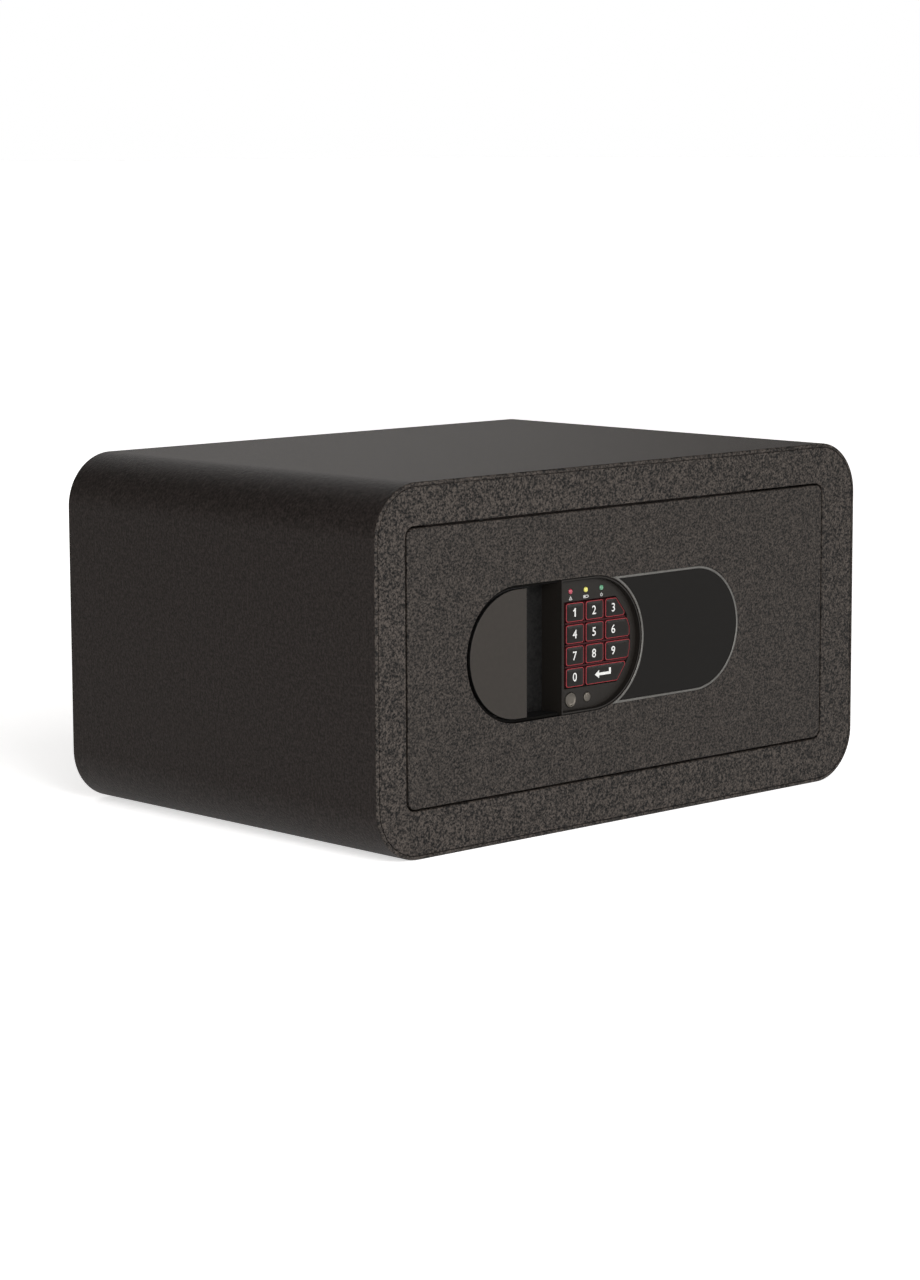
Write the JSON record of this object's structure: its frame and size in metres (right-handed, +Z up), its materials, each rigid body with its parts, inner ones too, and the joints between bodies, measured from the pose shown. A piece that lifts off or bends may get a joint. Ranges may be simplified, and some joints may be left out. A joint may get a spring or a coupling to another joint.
{
  "type": "furniture safe",
  "caption": "Small steel furniture safe with rounded long edges, a flush hinged door, a finger pocket, a keypad and motor-driven lock bolts.",
  "frame": {"origin": "middle of the footprint, on the surface the safe stands on", "axes": "+X to the right seen from the front, +Y to the back, +Z up; the door is in the -Y face"},
  "size_m": [0.38, 0.26, 0.2],
  "materials": {
    "cabinet_paint": "textured powder coat",
    "door_paint": "textured powder coat",
    "inner_paint": "textured powder coat",
    "grip_paint": "smooth satin",
    "zinc_steel": "zinc plated",
    "bolt_steel": "ground and plated",
    "rubber": "matt",
    "felt": "needle felt",
    "pocket_plastic": "fine texture",
    "housing_plastic": "fine texture",
    "key_plastic": "satin",
    "mat_rubber": "matt",
    "board": "solder mask",
    "led_red": "tinted lens",
    "led_yellow": "tinted lens",
    "led_green": "tinted lens",
    "contact_nickel": "nickel",
    "name_plastic": "satin",
    "trim_silver": "satin",
    "cable_grey": "PVC",
    "wire_red": "PVC",
    "cell_sleeve": "printed sleeve, plain",
    "motor_steel": "zinc plated",
    "box_plastic": "fine texture",
    "nylon": "natural nylon",
    "gear_brass": "machined",
    "button_red": "satin"
  },
  "bodies": {
    "cabinet": {"body_shell": "cabinet_paint", "back_panel": "cabinet_paint", "front_frame": "cabinet_paint", "strike_plate": "zinc_steel", "door_stops": "cabinet_paint", "door_buffers": "rubber", "hinge_pins": "zinc_steel", "floor_mat": "felt"},
    "door": {"door_plate": "door_paint", "hinge_blocks": "door_paint", "hinge_bushes": "box_plastic", "door_tray": "inner_paint", "inner_cover": "inner_paint", "inner_cover_screws": "zinc_steel", "pocket_housing": "pocket_plastic", "grip_plate": "grip_paint", "grip_screws": "zinc_steel", "keypad_housing": "housing_plastic", "keypad_mat": "mat_rubber", "keypad_board": "board", "keypad_screws": "zinc_steel", "led_red": "led_red", "led_yellow": "led_yellow", "led_green": "led_green", "contact_large": "contact_nickel", "contact_small": "contact_nickel", "nameplate": "name_plastic", "nameplate_trim": "trim_silver", "control_board": "board", "ribbon_cable": "cable_grey", "wiring_loom": "wire_red", "battery_holder": "box_plastic", "battery_contacts": "zinc_steel", "batteries": "cell_sleeve", "drive_motor": "motor_steel", "gearbox": "box_plastic", "chassis_screws": "zinc_steel", "limit_switch": "box_plastic", "bolt_bushes": "nylon", "guide_screws": "zinc_steel"},
    "drive": {"drive_shaft": "zinc_steel", "drive_pinion": "gear_brass"},
    "bolts": {"bolt_carriage": "zinc_steel", "bolt_rack": "zinc_steel", "lock_bolts": "bolt_steel", "bolt_screws": "zinc_steel"},
    "battery_lid": {"battery_cover": "box_plastic"},
    "code_button": {"code_button": "button_red"},
    "key_1": {"key_1": "key_plastic"},
    "key_2": {"key_2": "key_plastic"},
    "key_3": {"key_3": "key_plastic"},
    "key_4": {"key_4": "key_plastic"},
    "key_5": {"key_5": "key_plastic"},
    "key_6": {"key_6": "key_plastic"},
    "key_7": {"key_7": "key_plastic"},
    "key_8": {"key_8": "key_plastic"},
    "key_9": {"key_9": "key_plastic"},
    "key_0": {"key_0": "key_plastic"},
    "key_enter": {"key_enter": "key_plastic"}
  },
  "joints": [
    {"name": "door_hinge", "type": "hinge", "parent": "cabinet", "child": "door", "pos_m": [0.13095, -0.1225, 0.1015], "axis": [0, 0, 1], "range_deg": [0, 100]},
    {"name": "bolt_slide", "type": "slide", "parent": "door", "child": "bolts", "axis": [-1, 0, 0], "range_m": [0, 0.017]},
    {"name": "pinion_turn", "type": "hinge", "parent": "door", "child": "drive", "pos_m": [0.036, -0.103, 0.102], "axis": [0, 1, 0], "range_deg": [0, 97.5]},
    {"name": "battery_lid_hinge", "type": "hinge", "parent": "door", "child": "battery_lid", "pos_m": [0.1204, -0.0872, 0.135], "axis": [0, 0, -1], "range_deg": [0, 110]},
    {"name": "code_button_press", "type": "slide", "parent": "door", "child": "code_button", "axis": [0, -1, 0], "range_m": [0, 0.0012], "stiffness_N_per_m": 1200},
    {"name": "key_1_press", "type": "slide", "parent": "door", "child": "key_1", "axis": [0, 1, 0], "range_m": [0, 0.0008], "stiffness_N_per_m": 1500},
    {"name": "key_2_press", "type": "slide", "parent": "door", "child": "key_2", "axis": [0, 1, 0], "range_m": [0, 0.0008], "stiffness_N_per_m": 1500},
    {"name": "key_3_press", "type": "slide", "parent": "door", "child": "key_3", "axis": [0, 1, 0], "range_m": [0, 0.0008], "stiffness_N_per_m": 1500},
    {"name": "key_4_press", "type": "slide", "parent": "door", "child": "key_4", "axis": [0, 1, 0], "range_m": [0, 0.0008], "stiffness_N_per_m": 1500},
    {"name": "key_5_press", "type": "slide", "parent": "door", "child": "key_5", "axis": [0, 1, 0], "range_m": [0, 0.0008], "stiffness_N_per_m": 1500},
    {"name": "key_6_press", "type": "slide", "parent": "door", "child": "key_6", "axis": [0, 1, 0], "range_m": [0, 0.0008], "stiffness_N_per_m": 1500},
    {"name": "key_7_press", "type": "slide", "parent": "door", "child": "key_7", "axis": [0, 1, 0], "range_m": [0, 0.0008], "stiffness_N_per_m": 1500},
    {"name": "key_8_press", "type": "slide", "parent": "door", "child": "key_8", "axis": [0, 1, 0], "range_m": [0, 0.0008], "stiffness_N_per_m": 1500},
    {"name": "key_9_press", "type": "slide", "parent": "door", "child": "key_9", "axis": [0, 1, 0], "range_m": [0, 0.0008], "stiffness_N_per_m": 1500},
    {"name": "key_0_press", "type": "slide", "parent": "door", "child": "key_0", "axis": [0, 1, 0], "range_m": [0, 0.0008], "stiffness_N_per_m": 1500},
    {"name": "key_enter_press", "type": "slide", "parent": "door", "child": "key_enter", "axis": [0, 1, 0], "range_m": [0, 0.0008], "stiffness_N_per_m": 1500}
  ],
  "couplings": [
    {"joint": "pinion_turn", "follows": "bolt_slide", "rad_per_m": 100}
  ]
}
